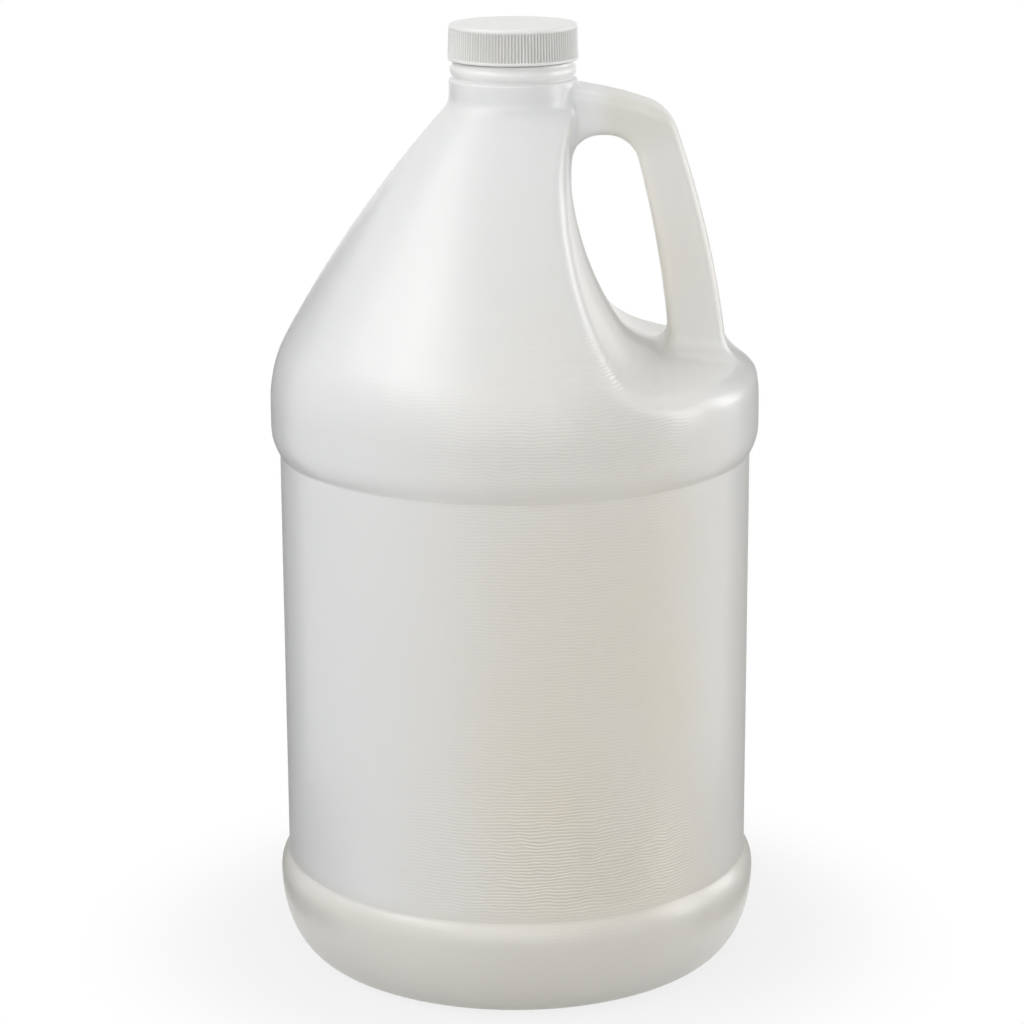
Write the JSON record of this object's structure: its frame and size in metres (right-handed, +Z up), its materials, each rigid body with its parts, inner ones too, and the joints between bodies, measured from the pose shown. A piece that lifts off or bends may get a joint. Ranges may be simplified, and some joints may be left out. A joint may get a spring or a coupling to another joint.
{
  "type": "handled plastic jug with screw cap",
  "caption": "Round blow-moulded polyethylene jug with a moulded-in hollow handle, a recessed label panel between bumper bands and a ribbed screw cap with a foam liner, for liquid detergent.",
  "frame": {"origin": "centre of the base on the jug's axis, in the plane that the jug stands on", "axes": "+Z up along the jug's axis, +X towards the handle"},
  "size_m": [0.154, 0.154, 0.2983],
  "materials": {
    "natural_polyethylene": "milky, slightly translucent, soft satin gloss with faint wavy flow marks",
    "white_polypropylene": "moulded white, satin",
    "foam_liner": "closed-cell foam, matt"
  },
  "bodies": {
    "jug": {"jug": "natural_polyethylene"},
    "cap_liner": {"cap_liner": "foam_liner"},
    "cap": {"cap": "white_polypropylene"}
  },
  "joints": [
    {"name": "cap_lift", "type": "slide", "parent": "jug", "child": "cap_liner", "axis": [0, 0, 1], "range_m": [0, 0.0128]},
    {"name": "cap_turn", "type": "hinge", "parent": "cap_liner", "child": "cap", "pos_m": [0, 0, 0.2959], "axis": [0, 0, 1], "range_deg": [0, 1080]}
  ],
  "couplings": [
    {"joint": "cap_lift", "follows": "cap_turn", "m_per_rad": 0.00067376}
  ]
}
